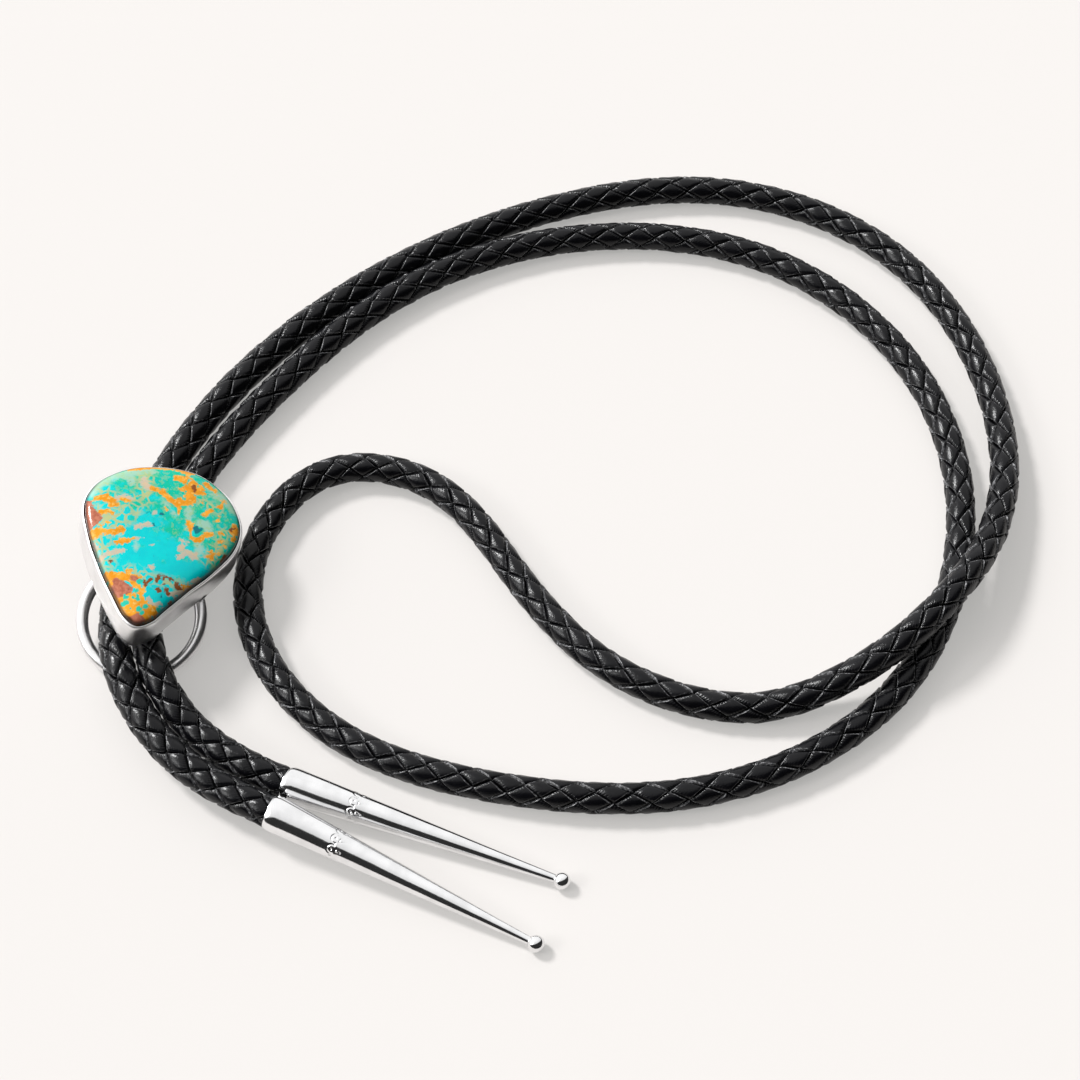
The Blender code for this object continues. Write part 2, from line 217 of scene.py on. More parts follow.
def smooth_curve(points):
    """Even bends seen from above, and heights that never swing past those of the points."""
    points = np.array(points, dtype=float)
    gaps = np.linalg.norm(np.diff(points, axis=0), axis=1)
    knots = np.concatenate(([0.0], np.cumsum(gaps)))
    slopes = np.diff(points, axis=0) / gaps[:, None]
    count = len(points)
    matrix = np.eye(count)
    right = np.zeros((count, 2))
    climb = np.concatenate((slopes[:1, 2], np.zeros(count - 2), slopes[-1:, 2]))
    for i in range(1, count - 1):
        matrix[i, i - 1:i + 2] = gaps[i - 1], 2 * (gaps[i - 1] + gaps[i]), gaps[i]
        right[i] = 6 * (slopes[i, :2] - slopes[i - 1, :2])
        before, after = slopes[i - 1, 2], slopes[i, 2]
        if before * after > 0:
            climb[i] = 2 * before * after / (before + after)
    bend = np.linalg.solve(matrix, right)
    want = np.linspace(0.0, knots[-1], ROUTE_SAMPLES)
    i = np.clip(np.searchsorted(knots, want, side="right") - 1, 0, count - 2)
    gap = gaps[i][:, None]
    to_end = knots[i + 1][:, None] - want[:, None]
    from_start = want[:, None] - knots[i][:, None]
    plan = (bend[i] * to_end**3 + bend[i + 1] * from_start**3) / (6 * gap)
    plan += (points[i, :2] / gap - bend[i] * gap / 6) * to_end
    plan += (points[i + 1, :2] / gap - bend[i + 1] * gap / 6) * from_start
    u = (want - knots[i]) / gaps[i]
    height = points[i, 2] * (1 - u)**2 * (1 + 2 * u) + points[i + 1, 2] * u**2 * (3 - 2 * u)
    height += gaps[i] * u * (1 - u) * (climb[i] * (1 - u) - climb[i + 1] * u)
    samples = np.column_stack((plan, height))
    steps = np.linalg.norm(np.diff(samples, axis=0), axis=1)
    return samples, np.concatenate(([0.0], np.cumsum(steps)))


def show(name, points, faces, finish, marks=()):
    """A smooth mesh object on the root body, with one finish and its number fields."""
    mesh = bpy.data.meshes.new(name)
    mesh.from_pydata(np.asarray(points).tolist(), [], faces)
    for mark, values in dict(marks).items():
        field = mesh.attributes.new(mark, "FLOAT", "POINT")
        field.data.foreach_set("value", np.asarray(values, dtype=float).ravel())
    mesh.shade_smooth()
    mesh.materials.append(finish)
    piece = bpy.data.objects.new(name, mesh)
    bpy.context.scene.collection.objects.link(piece)
    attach(piece, "root")
    return piece


def new_finish(name):
    """An empty material and its shader, ready to be wired."""
    finish = bpy.data.materials.new(name)
    finish.use_nodes = True
    return finish, finish.node_tree, finish.node_tree.nodes["Principled BSDF"]


def wire(tree, kind, inputs=(), **settings):
    """Add a node, set or join its inputs, and give back its first output."""
    node = tree.nodes.new("ShaderNode" + kind)
    for name, value in settings.items():
        setattr(node, name, value)
    for key, value in dict(inputs).items():
        if isinstance(value, bpy.types.NodeSocket):
            tree.links.new(value, node.inputs[key])
        else:
            node.inputs[key].default_value = value
    return node.outputs[0]


def field(tree, name):
    """The number field of that name, as a socket."""
    return wire(tree, "Attribute", attribute_name=name).node.outputs["Fac"]


def sums(tree, operation, a, b=0.5, c=0.5):
    """Arithmetic on the numbers that a finish is made from."""
    return wire(tree, "Math", {0: a, 1: b, 2: c}, operation=operation)


def ramp(tree, value, low, high, start=0.0, end=1.0):
    """A soft step from start to end while the value goes from low to high."""
    return wire(
        tree, "MapRange",
        {"Value": value, "From Min": low, "From Max": high, "To Min": start, "To Max": end},
        interpolation_type="SMOOTHSTEP",
    )


def noise(tree, scale, detail=3.0, roughness=0.5, stretch=None):
    """Noise in the part's own space, scale in waves per metre."""
    place = wire(tree, "TexCoord").node.outputs["Object"]
    if stretch:
        place = wire(tree, "Mapping", {"Vector": place, "Scale": stretch})
    return wire(
        tree, "TexNoise",
        {"Vector": place, "Scale": scale, "Detail": detail, "Roughness": roughness},
    )


def blend(tree, share, a, b):
    """Colour a, and b where the share is one."""
    node = wire(tree, "Mix", {"Factor": share}, data_type="RGBA").node
    for socket, colour in ((node.inputs[6], a), (node.inputs[7], b)):
        if isinstance(colour, bpy.types.NodeSocket):
            tree.links.new(colour, socket)
        else:
            socket.default_value = (*colour, 1.0)
    return node.outputs[2]


def black_leather():
    """Waxed black lace: fine grain, creases along each lace, painted shade where each lace goes under,
    and pale cut edges that are partly scuffs and partly painted highlight.
    """
    finish, tree, shader = new_finish("black_leather")
    along, across, tone = (field(tree, name) for name in ("along", "across", "tone"))
    side = sums(tree, "ABSOLUTE", across)
    end = sums(tree, "ABSOLUTE", along)
    grain = noise(tree, 5200.0, 2.0)
    patches = noise(tree, 900.0, 3.0)
    scuffs = noise(tree, 2600.0, 3.0, 0.7)
    # The long edges are pale: partly scuffed cut leather, partly painted highlight where light would
    # catch them
    cut_edge_and_highlight = sums(tree, "MULTIPLY", ramp(tree, side, 0.415, 0.445), ramp(tree, end, 0.56, 0.42))
    scuffs_and_highlight = sums(tree, "MULTIPLY", cut_edge_and_highlight, ramp(tree, scuffs, 0.50, 0.62))
    # Painted shade: the ends of each lace turn to the crevice colour and lose their shine where they go
    # under the next lace
    crevice_shade = ramp(tree, end, 0.42, 0.50)
    body = blend(tree, patches, *BLACKS)
    body = blend(tree, sums(tree, "MULTIPLY", tone, 0.4), body, PALE_LACE)
    body = blend(tree, crevice_shade, body, PAINTED_CREVICE_SHADE)
    body = blend(tree, sums(tree, "MULTIPLY", cut_edge_and_highlight, 0.7), body, CUT_EDGE_AND_HIGHLIGHT)
    body = blend(tree, sums(tree, "MULTIPLY", scuffs_and_highlight, 0.6), body, SCUFFS_AND_EDGE_HIGHLIGHT)
    tree.links.new(body, shader.inputs["Base Color"])
    rough = sums(tree, "MULTIPLY_ADD", patches, 0.16, 0.13)
    rough = sums(tree, "MULTIPLY_ADD", scuffs_and_highlight, 0.2, rough)
    tree.links.new(rough, shader.inputs["Roughness"])
    shine = ramp(tree, crevice_shade, 0.0, 1.0, 0.22, 0.03)
    tree.links.new(shine, shader.inputs["Specular IOR Level"])
    # Pleats run along the lace, and are deepest where it goes under its neighbours
    crease = sums(tree, "MULTIPLY", across, 52.0)
    crease = sums(tree, "MULTIPLY_ADD", noise(tree, 900.0, 1.0), 7.0, crease)
    pleat = sums(tree, "MULTIPLY", sums(tree, "SINE", crease), ramp(tree, end, 0.16, 0.42, 0.03, 0.7))
    height = sums(tree, "MULTIPLY_ADD", grain, 0.7, pleat)
    height = sums(tree, "MULTIPLY_ADD", scuffs, 0.8, height)
    bump = wire(tree, "Bump", {"Height": height, "Strength": 0.8, "Distance": 0.00004})
    tree.links.new(bump, shader.inputs["Normal"])
    return finish


def route_places(numbers, samples, length):
    """How far along the cord the route's points of these numbers lie."""
    plan = np.array(CORD_ROUTE)[:, :2]
    return [
        length[np.argmin(np.linalg.norm(samples[:, :2] - plan[number], axis=1))]
        for number in numbers
    ]


def lay_braid(samples, length):
    """Points, faces and number fields of the braid: one bent scale of lace for each crossing."""
    total = length[-1]
    heading = np.gradient(samples, axis=0)
    heading /= np.linalg.norm(heading, axis=1)[:, None]
    up = np.array((0.0, 0.0, 1.0)) - heading[:, 2:] * heading
    up /= np.linalg.norm(up, axis=1)[:, None]
    side = np.cross(heading, up)
    numbers, turns, steps = zip(*BRAID_WAY)
    stations = route_places(numbers, samples, length)
    turns = np.radians(turns)
    steps = np.interp(length, stations, np.array(steps) / 1000)
    passed = np.concatenate(([0.0], np.cumsum(np.diff(length) / steps[1:])))
    numbers, bulges = zip(*FULL_WAY)
    bulge_places = route_places(numbers, samples, length)

    def skin(z, turn, radius):
        """Points on the cord at the distance z, turned about its middle, at a radius."""
        angle = turn + np.interp(z, stations, turns)
        depth = np.minimum(z, total - z)
        radius = radius * np.interp(depth, (0.0, CORD_IN_TIP), (PINCH, 1.0))
        radius = radius * (1 + SWELL * np.interp(z, bulge_places, bulges))
        place = np.zeros((*z.shape, 3))
        for k in range(3):
            middle = np.interp(z, length, samples[:, k])
            lift = np.interp(z, length, up[:, k])
            reach = np.interp(z, length, side[:, k])
            place[..., k] = middle + radius * (np.cos(angle) * lift + np.sin(angle) * reach)
        return place

    row, lace = np.meshgrid(np.arange(1, int(passed[-1])), np.arange(LACES), indexing="ij")
    row, lace = row.ravel(), lace.ravel()
    rng = np.random.default_rng(BRAID_SEED)
    count = len(row)
    crossing = row + 0.5 * (lace % 2) + rng.normal(0, UNEVEN_PLACE, count)
    middle = np.interp(crossing, passed, length)
    step = np.interp(middle, length, steps)[:, None, None]
    turn = lace * 2 * math.pi / LACES + np.radians(rng.normal(0, UNEVEN_TURN, count))
    crown = CROWN - rng.uniform(0, UNEVEN_HEIGHT, count)
    tilt = rng.normal(0, UNEVEN_TILT, count)
    tone = rng.uniform(0, 1, count)
    s, t = np.meshgrid(ALONG, ACROSS, indexing="ij")
    hand = np.where(lace % 2 == 0, 1.0, -1.0)[:, None, None]
    z = middle[:, None, None] + (s + t) * step / 2
    angle = turn[:, None, None] + hand * (s - t) * 2 * math.pi / LACES
    dive = (np.clip(np.abs(s) - CROWN_END, 0.0, 1.0) / DIVE_OVER)**2
    drop = LACE_DIVE * np.minimum(dive, DEEPEST_DIVE) + LACE_DOME * ((2 * t)**2 + (2 * s)**2)
    drop = drop + np.where(np.abs(t) > ROLL_FROM, EDGE_ROLL, 0.0)
    drop = drop + np.where(np.abs(t) > WALL_FROM, LACE_THICKNESS, 0.0)
    radius = crown[:, None, None] - drop + tilt[:, None, None] * 2 * t
    grid = skin(z, angle, np.maximum(radius, LOWEST * CROWN))
    points = grid.reshape(-1, 3)
    across_count = len(ACROSS)
    per_scale = len(ALONG) * across_count
    corner = np.array([
        i * across_count + j for i in range(len(ALONG) - 1) for j in range(across_count - 1)
    ])
    quads = np.stack((corner, corner + across_count, corner + across_count + 1, corner + 1), 1)
    faces = []
    for scale in range(count):
        order = quads if lace[scale] % 2 == 0 else quads[:, ::-1]
        faces.extend((order + scale * per_scale).tolist())
    marks = {
        "along": np.broadcast_to(s, z.shape).ravel(),
        "across": np.broadcast_to(t, z.shape).ravel(),
        "tone": np.repeat(tone, per_scale),
    }
    # The laces lie over a plain round core, which closes the gaps between them
    z, around = np.meshgrid(
        np.linspace(0.0, total, CORE_RINGS),
        np.arange(CORE_SIDES) * 2 * math.pi / CORE_SIDES,
        indexing="ij",
    )
    core = skin(z, around, CORE_RADIUS).reshape(-1, 3)
    start = len(points)
    for i in range(CORE_RINGS - 1):
        for j in range(CORE_SIDES):
            a, b = start + i * CORE_SIDES + j, start + i * CORE_SIDES + (j + 1) % CORE_SIDES
            faces.append((a, b, b + CORE_SIDES, a + CORE_SIDES))
    last = start + (CORE_RINGS - 1) * CORE_SIDES
    faces.append(tuple(range(start, start + CORE_SIDES))[::-1])
    faces.append(tuple(range(last, last + CORE_SIDES)))
    # The core takes the crevice colour, painted shade seen in the gaps between laces
    for name, value in (("along", 0.7), ("across", 0.0), ("tone", 0.0)):
        marks[name] = np.concatenate((marks[name], np.full(len(core), value)))
    return np.concatenate((points, core)), faces, marks


near_pose = tip_pose(near_tip_mouth(), NEAR_TIP_HEADING, NEAR_TIP_LIFT)
far_pose = tip_pose(FAR_TIP_MOUTH, FAR_TIP_HEADING, 0.0)
route = [Vector((x, y, CORD_DIAMETER / 2 + lift)) for x, y, lift in CORD_ROUTE]
route = [near_pose[0] + near_pose[1] * CORD_IN_TIP, near_pose[0], *route,
         far_pose[0], far_pose[0] + far_pose[1] * CORD_IN_TIP]
cord_middle, cord_length = smooth_curve(route)
points, faces, marks = lay_braid(cord_middle, cord_length)
braided_cord = show("braided_cord", points, faces, black_leather(), marks)
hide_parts("cord")

# The two tips. Each is a polished silver cone, rolled up from sheet and soldered, with a small
# ball on its end and the cord glued into its open mouth. The near one lies a little higher.
TIP_NECK = 0.0015
TIP_BORE = 0.0073
TIP_WALL = 0.00035
TIP_SIDES = 144
BALL_RINGS = 20
# The mouth is hammered in a little to grip the cord, over this length
MOUTH_TURN_IN = 0.00040
MOUTH_ROUNDING = 0.0018
# A band of small stamped moons and darts runs round the tip at about a quarter of its length
STAMP_PLACE = 0.0130
STAMP_COUNT = 8
STAMP_SIZE = 1.2
STAMP_DEPTH = 0.00010
STAMP_EDGE = 0.12
# The moon is an open ring, the dart a hollow wedge beside it, with a dot between them. Their sizes
# are shares of the stamp's size.
MOON_RADIUS = 0.72
MOON_LINE = 0.10
MOON_OPEN_FROM = 0.25
DART_HALF_WIDTH = 0.42
DART_TAPER = 0.36
DART_START = 0.5
DART_END = 1.7
DART_INSET = 0.09
DART_LINE = 0.07
DOT_RADIUS = 0.16
DOT_PLACE = -0.1
# Hammering leaves the mouth a little uneven: lobes round it, share of the tip's phase, size
MOUTH_WAVES = ((3, 1, 0.012), (5, -2, 0.007))
# The long cone is very slightly wavy: lobes round it, waves along it, share of the phase, size
CONE_WAVES = ((2, 240, 1, 0.0035), (3, -520, 2, 0.0025))


def polished_silver(name, dullness, tint=(0.92, 0.915, 0.91), marks_depth=0.00004):
    """Bright silver with faint wiping marks."""
    finish, tree, shader = new_finish(name)
    shader.inputs["Metallic"].default_value = 1.0
    cloud = noise(tree, 260.0, 3.0)
    marks = noise(tree, 900.0, 4.0, 0.7, stretch=(1.0, 1.0, 6.0))
    dark = tuple(0.88 * part for part in tint)
    tree.links.new(blend(tree, ramp(tree, cloud, 0.35, 0.7), tint, dark), shader.inputs["Base Color"])
    rough = sums(tree, "MULTIPLY_ADD", marks, 0.10, dullness)
    tree.links.new(rough, shader.inputs["Roughness"])
    bump = wire(tree, "Bump", {"Height": marks, "Strength": 0.15, "Distance": marks_depth})
    tree.links.new(bump, shader.inputs["Normal"])
    return finish


def ring_faces(rings, sides, closed=False):
    """Quads between rings of points that follow each other."""
    faces = []
    for i in range(rings if closed else rings - 1):
        low, high = i * sides, (i + 1) % rings * sides
        for j in range(sides):
            k = (j + 1) % sides
            faces.append((low + j, low + k, high + k, high + j))
    return faces


def stamped(s, around, radius):
    """How deep the stamps go at each place, from nothing to one."""
    depth = np.zeros(np.broadcast(s, around).shape)
    for k in range(STAMP_COUNT):
        turn = (around - 2 * math.pi * k / STAMP_COUNT + math.pi) % (2 * math.pi) - math.pi
        x = (s - STAMP_PLACE) * 1000 / STAMP_SIZE
        y = turn * radius * 1000 / STAMP_SIZE
        moon = np.abs(np.hypot(x, y) - MOON_RADIUS) - MOON_LINE
        moon = np.maximum(moon, x - MOON_OPEN_FROM)
        dart = np.abs(y) - DART_HALF_WIDTH + DART_TAPER * (x - DART_START)
        dart = np.maximum(np.maximum(dart, DART_START - x), x - DART_END)
        dart = np.abs(dart + DART_INSET) - DART_LINE
        dot = np.hypot(x - DOT_PLACE, y) - DOT_RADIUS
        for edge in (moon, dart, dot):
            depth = np.maximum(depth, np.clip(0.5 - edge / STAMP_EDGE, 0.0, 1.0))
    return depth


def turned_tip(name, pose, finish, wave, notch):
    """Bore, turned-in mouth, long cone with its stamps, neck and ball, about the tip's own line."""
    mouth, axis = pose
    lip = TIP_MOUTH / 2
    ball = TIP_BALL / 2
    ball_middle = TIP_LENGTH - ball
    cone = TIP_LENGTH - TIP_BALL
    neck_turn = math.asin(TIP_NECK / TIP_BALL)
    cone_end = ball_middle - ball * math.cos(neck_turn)

    def cone_radius(s):
        turned_in = MOUTH_TURN_IN * (1 - math.sqrt(1 - max(0.0, 1 - s / MOUTH_ROUNDING)**2))
        return lip + (TIP_NECK / 2 - lip) * min(s / cone, 1.0) - turned_in

    profile = [(TIP_BORE * share, cone_radius(TIP_BORE * share) - TIP_WALL)
               for share in (1.0, 0.6, 0.3, 0.12)]
    edge = cone_radius(0.00012)
    for turn in np.linspace(0.9 * math.pi, 0.25 * math.pi, 5):
        profile.append((0.00006 - 0.00009 * math.sin(turn), edge - 0.00012 + 0.00010 * math.cos(turn)))
    inside_count = len(profile)
    stations = np.concatenate((
        MOUTH_ROUNDING * np.linspace(0.06, 1.0, 14)**1.4,
        np.linspace(0.0024, STAMP_PLACE - 0.0012, 14),
        np.arange(STAMP_PLACE - 0.0011, STAMP_PLACE + 0.0022, 0.00009),
        np.linspace(STAMP_PLACE + 0.0024, cone_end - 0.0001, 30),
        (cone_end - 0.00002,),
    ))
    profile += [(s, cone_radius(s)) for s in stations]
    for turn in (1.01 * neck_turn, *np.linspace(1.04 * neck_turn, math.pi, BALL_RINGS)[:-1]):
        profile.append((ball_middle - ball * math.cos(turn), ball * math.sin(turn)))
    profile = np.array(profile)
    side = np.array(axis.cross(Vector((0, 0, 1))).normalized())
    rise = np.cross(side, np.array(axis))
    around = 2 * math.pi * (np.arange(TIP_SIDES) + 0.5) / TIP_SIDES
    s = profile[:, 0][:, None]
    radius = np.repeat(profile[:, 1][:, None], TIP_SIDES, axis=1)
    near_mouth = np.exp(-s / 0.006)
    uneven = sum(size * np.sin(n * around + k * wave) for n, k, size in MOUTH_WAVES)
    wavy = sum(size * np.sin(n * around + m * s + k * wave) for n, m, k, size in CONE_WAVES)
    radius = radius * (1 + near_mouth * uneven) * (1 + wavy)
    outside = np.arange(len(profile))[:, None] >= inside_count
    radius = radius - outside * STAMP_DEPTH * stamped(s, around[None, :], radius)
    slide = s + near_mouth * 0.00015 * np.sin(2 * around + 1.3 * wave)
    # The sheet's overlap leaves a step in the edge of the mouth
    slide = slide + notch * np.exp(-s / 0.0015) * (np.abs((around - 3.6)) < 0.55)
    rings = (
        np.array(mouth)
        + slide[..., None] * np.array(axis)
        + (radius * np.cos(around))[..., None] * side
        + (radius * np.sin(around))[..., None] * rise
    )
    points = np.vstack((rings.reshape(-1, 3), np.array(mouth + axis * TIP_LENGTH)[None]))
    faces = ring_faces(len(profile), TIP_SIDES)
    faces.append(tuple(range(TIP_SIDES))[::-1])
    last = (len(profile) - 1) * TIP_SIDES
    for j in range(TIP_SIDES):
        faces.append((last + j, last + (j + 1) % TIP_SIDES, len(points) - 1))
    return show(name, points, faces, finish)


tip_silver = polished_silver("tip_silver", 0.05, (0.86, 0.858, 0.862))
near_cone = turned_tip("near_cone", near_pose, tip_silver, 0.4, 0.0007)
far_cone = turned_tip("far_cone", far_pose, tip_silver, 2.1, 0.0)
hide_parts("near_tip")
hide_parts("far_tip")

# The stone. A low turquoise cabochon, cut as a rounded shield with its point down and polished.
# Its blue-green body carries golden, rust-brown and sandy matrix, as the ground gave it.
STONE_WIDTH = 0.0280
STONE_HEIGHT = 0.0336
STONE_DOME = 0.0022
STONE_GIRDLE = 0.0003
DOME_SQUARENESS = 2.7
SETTING_GAP = 0.0003
CUP_DEPTH = 0.0061
BACK_PLATE = 0.0010
SLIDE_ROLL = math.radians(14.0)
STONE_SIDES = 320
DOME_RINGS = 90
STONE_OUTLINE = (
    (0.11, 1.00),
    (0.48, 0.93),
    (0.81, 0.71),
    (0.98, 0.42),
    (0.96, 0.13),
    (0.76, -0.17),
    (0.44, -0.48),
    (0.15, -0.77),
    (0.00, -0.92),
    (-0.18, -1.00),
    (-0.33, -0.92),
    (-0.46, -0.75),
    (-0.70, -0.38),
    (-0.90, 0.03),
    (-0.99, 0.33),
    (-0.96, 0.55),
    (-0.78, 0.77),
    (-0.40, 0.95),
)
# The matrix, as strokes on the stone's face: x, y and half width in millimetres, point by point.
# The net of veins lies within WEB. Two strokes are painted light: one veil stroke along the upper left
# rim is partly highlight, and one brown stroke along the lower left rim is shade.
GOLD = (
    ((-13.0, -0.2, 0.7), (-12.0, 0.1, 0.9), (-10.5, 0.6, 0.6), (-8.2, 0.7, 0.5)),
    ((-8.2, 0.7, 0.4), (-7.3, 1.3, 0.45), (-6.7, 0.9, 0.4)),
    ((-7.6, -1.4, 0.3), (-6.2, -0.9, 0.45), (-5.0, -0.4, 0.25)),
    ((-11.9, 7.6, 0.4), (-10.6, 7.8, 0.6), (-9.4, 7.3, 0.45)),
    ((-7.4, 7.7, 0.3), (-6.6, 7.5, 0.35)),
    ((-2.6, 11.1, 0.3), (-1.2, 10.6, 0.4), (-0.1, 9.7, 0.55), (1.2, 8.7, 0.3), (2.2, 8.1, 0.5)),
    ((2.2, 8.1, 0.5), (2.6, 7.2, 0.35), (2.5, 6.4, 0.15)),
    ((1.8, 13.9, 0.55), (3.0, 14.0, 0.65)),
    ((4.7, 13.8, 0.45), (4.6, 12.4, 0.8), (4.2, 11.3, 0.75), (4.3, 10.0, 0.9), (4.4, 9.4, 0.75)),
    ((4.0, 8.9, 0.6), (3.2, 8.4, 0.6), (2.3, 8.2, 0.65), (2.5, 9.2, 0.35)),
    ((6.1, 12.4, 0.6), (5.5, 11.6, 0.5)),
    ((3.3, 11.7, 0.45), (2.3, 11.4, 0.25)),
    ((7.4, 6.6, 0.4), (7.7, 7.3, 0.7), (8.3, 7.8, 0.35)),
    ((10.5, 10.5, 0.25), (9.9, 9.1, 0.2)),
    ((4.4, 4.5, 0.45), (5.0, 3.9, 0.6), (4.9, 2.9, 0.35), (5.3, 1.5, 0.25)),
    ((6.1, 0.9, 0.3), (7.0, 1.4, 0.35), (8.0, 2.2, 0.5), (8.8, 2.8, 0.35)),
    ((12.9, 5.2, 0.5), (12.9, 4.3, 0.55), (12.3, 4.1, 0.4)),
    ((10.3, 3.3, 0.2), (10.8, 3.4, 0.2)),
    ((12.7, 2.8, 0.3), (12.9, 3.0, 0.2)),
    ((10.4, 1.5, 0.22), (10.7, 1.6, 0.15)),
    ((11.5, 0.8, 0.28),),
    ((8.8, -0.8, 0.28),),
    ((10.4, -0.9, 0.28),),
    ((8.4, -1.9, 0.2), (9.0, -1.8, 0.3), (9.6, -1.3, 0.15)),
    ((6.8, 11.4, 0.28),),
    ((6.8, 9.2, 0.2),),
    ((-9.4, -8.7, 0.8), (-7.0, -8.2, 0.75), (-5.0, -8.3, 0.7), (-3.2, -8.7, 0.7)),
    ((-9.2, -9.4, 0.9), (-8.0, -11.2, 1.2), (-6.6, -13.2, 1.3), (-5.0, -14.8, 1.2)),
    ((-5.0, -14.8, 1.3), (-3.2, -15.6, 1.3), (-1.4, -15.2, 1.0), (-0.1, -14.2, 0.8)),
    ((-7.4, -9.6, 0.9), (-5.0, -12.0, 1.3), (-4.3, -13.6, 1.4), (-2.6, -13.2, 1.4)),
    ((-3.6, -9.7, 0.8), (-2.4, -10.8, 0.8), (-2.9, -12.0, 1.0), (-1.2, -14.2, 0.9)),
    ((-5.3, -7.3, 0.3), (-4.7, -7.0, 0.25)),
    ((-7.2, 15.0, 0.15), (-3.4, 16.0, 0.25), (1.0, 16.5, 0.3), (4.4, 15.9, 0.3)),
    ((7.0, 13.6, 0.3), (9.0, 12.4, 0.25)),
    ((-11.2, 4.6, 0.3), (-10.0, 4.9, 0.4), (-9.0, 4.4, 0.2)),
    ((-10.8, 1.8, 0.2), (-9.4, 2.6, 0.3)),
    ((-9.6, 5.9, 0.3), (-8.6, 6.4, 0.2)),
    ((0.6, 6.9, 0.25),),
    ((9.0, 5.6, 0.2), (9.8, 6.0, 0.3)),
    ((4.9, -8.4, 0.2), (5.8, -8.0, 0.3)),
)
RUST = (
    ((-14.0, 6.6, 0.6), (-13.5, 5.2, 0.9), (-12.9, 4.0, 1.1), (-12.3, 3.3, 1.1)),
    ((-12.4, 3.2, 1.0), (-13.0, 2.0, 1.0), (-13.3, 1.0, 0.5)),
    ((-11.9, 2.6, 0.6), (-11.2, 3.0, 0.4)),
    ((-6.9, -9.2, 0.5), (-6.2, -10.0, 0.75), (-5.2, -10.3, 0.75), (-4.5, -10.6, 0.6)),
    ((-6.4, -10.4, 0.9), (-5.7, -11.3, 0.8), (-5.0, -11.0, 0.6)),
    ((-3.4, -16.1, 0.45), (-2.6, -15.9, 0.6), (-1.9, -16.0, 0.4)),
    ((-4.2, -8.4, 0.3), (-3.7, -8.6, 0.35)),
)
BROWN_AND_SHADE = (
    ((-8.9, -10.4, 0.3), (-8.0, -11.6, 0.4), (-7.4, -12.5, 0.35)),
    # This stroke along the lower left rim is painted shade and dark reflection of the steep edge, not
    # matrix
    ((-6.6, -14.2, 0.3), (-5.4, -15.4, 0.4), (-4.2, -16.3, 0.4)),
    ((0.5, -7.4, 0.22), (0.2, -8.0, 0.1), (0.0, -8.5, 0.12)),
    ((1.1, -8.0, 0.15), (1.5, -7.4, 0.15)),
    ((-1.2, -8.5, 0.2), (-1.8, -9.4, 0.25), (-2.2, -8.8, 0.15)),
    ((3.9, -9.0, 0.35), (3.6, -8.5, 0.1)),
    ((1.8, -9.8, 0.3), (2.1, -10.5, 0.2)),
    ((0.6, -10.2, 0.22),),
    ((1.6, -8.9, 0.12),),
    ((12.2, 4.5, 0.25), (12.8, 5.1, 0.2)),
    ((4.9, 12.6, 0.15), (5.1, 11.9, 0.15)),
    ((11.9, -0.9, 0.25), (11.3, -1.8, 0.2)),
    ((2.6, -12.2, 0.12), (3.1, -11.8, 0.12)),
    ((2.4, -7.7, 0.12),),
    ((-8.3, -5.4, 0.15),),
)
SAND = (
    ((-4.9, 1.7, 0.25), (-3.9, 2.6, 0.4), (-2.6, 3.1, 0.5), (-2.0, 2.9, 0.3)),
    ((-4.2, 13.0, 0.4), (-3.9, 12.0, 0.55), (-3.3, 11.1, 0.45)),
    ((-8.6, 7.8, 0.35), (-7.2, 8.3, 0.5), (-6.1, 8.2, 0.4)),
    ((-1.6, 5.7, 0.3), (-2.0, 5.0, 0.12)),
    ((-5.0, -0.4, 0.25), (-4.0, -0.1, 0.2), (-3.5, 0.1, 0.12)),
    ((-6.3, -2.9, 0.25), (-8.0, -3.6, 0.45), (-9.4, -4.1, 0.4), (-10.0, -5.0, 0.3)),
    ((3.7, 0.6, 0.35), (4.3, 0.0, 0.3), (3.4, -1.1, 0.45), (3.3, -1.4, 0.3)),
    ((4.8, -1.8, 0.35), (4.1, -2.2, 0.3), (3.4, -3.2, 0.22)),
    ((5.4, -1.8, 0.35), (6.0, -2.6, 0.35), (6.4, -2.0, 0.3)),
    ((8.2, -1.9, 0.2), (8.8, -1.7, 0.25)),
    ((-1.2, -12.1, 0.5), (-0.4, -12.9, 0.6), (0.2, -13.4, 0.5), (0.8, -12.7, 0.4)),
    ((2.4, -10.6, 0.25), (3.6, -10.2, 0.35), (4.5, -9.4, 0.35), (5.3, -8.4, 0.4), (6.3, -7.6, 0.3)),
    ((6.3, -7.2, 0.2), (7.4, -6.3, 0.18)),
    ((4.2, 13.8, 0.35), (4.9, 12.6, 0.5), (5.1, 11.2, 0.35)),
    ((-11.8, -1.8, 0.2), (-10.8, -2.6, 0.25)),
    ((-1.4, -1.3, 0.15), (-1.2, -1.0, 0.1)),
    ((-1.2, -5.8, 0.3),),
)
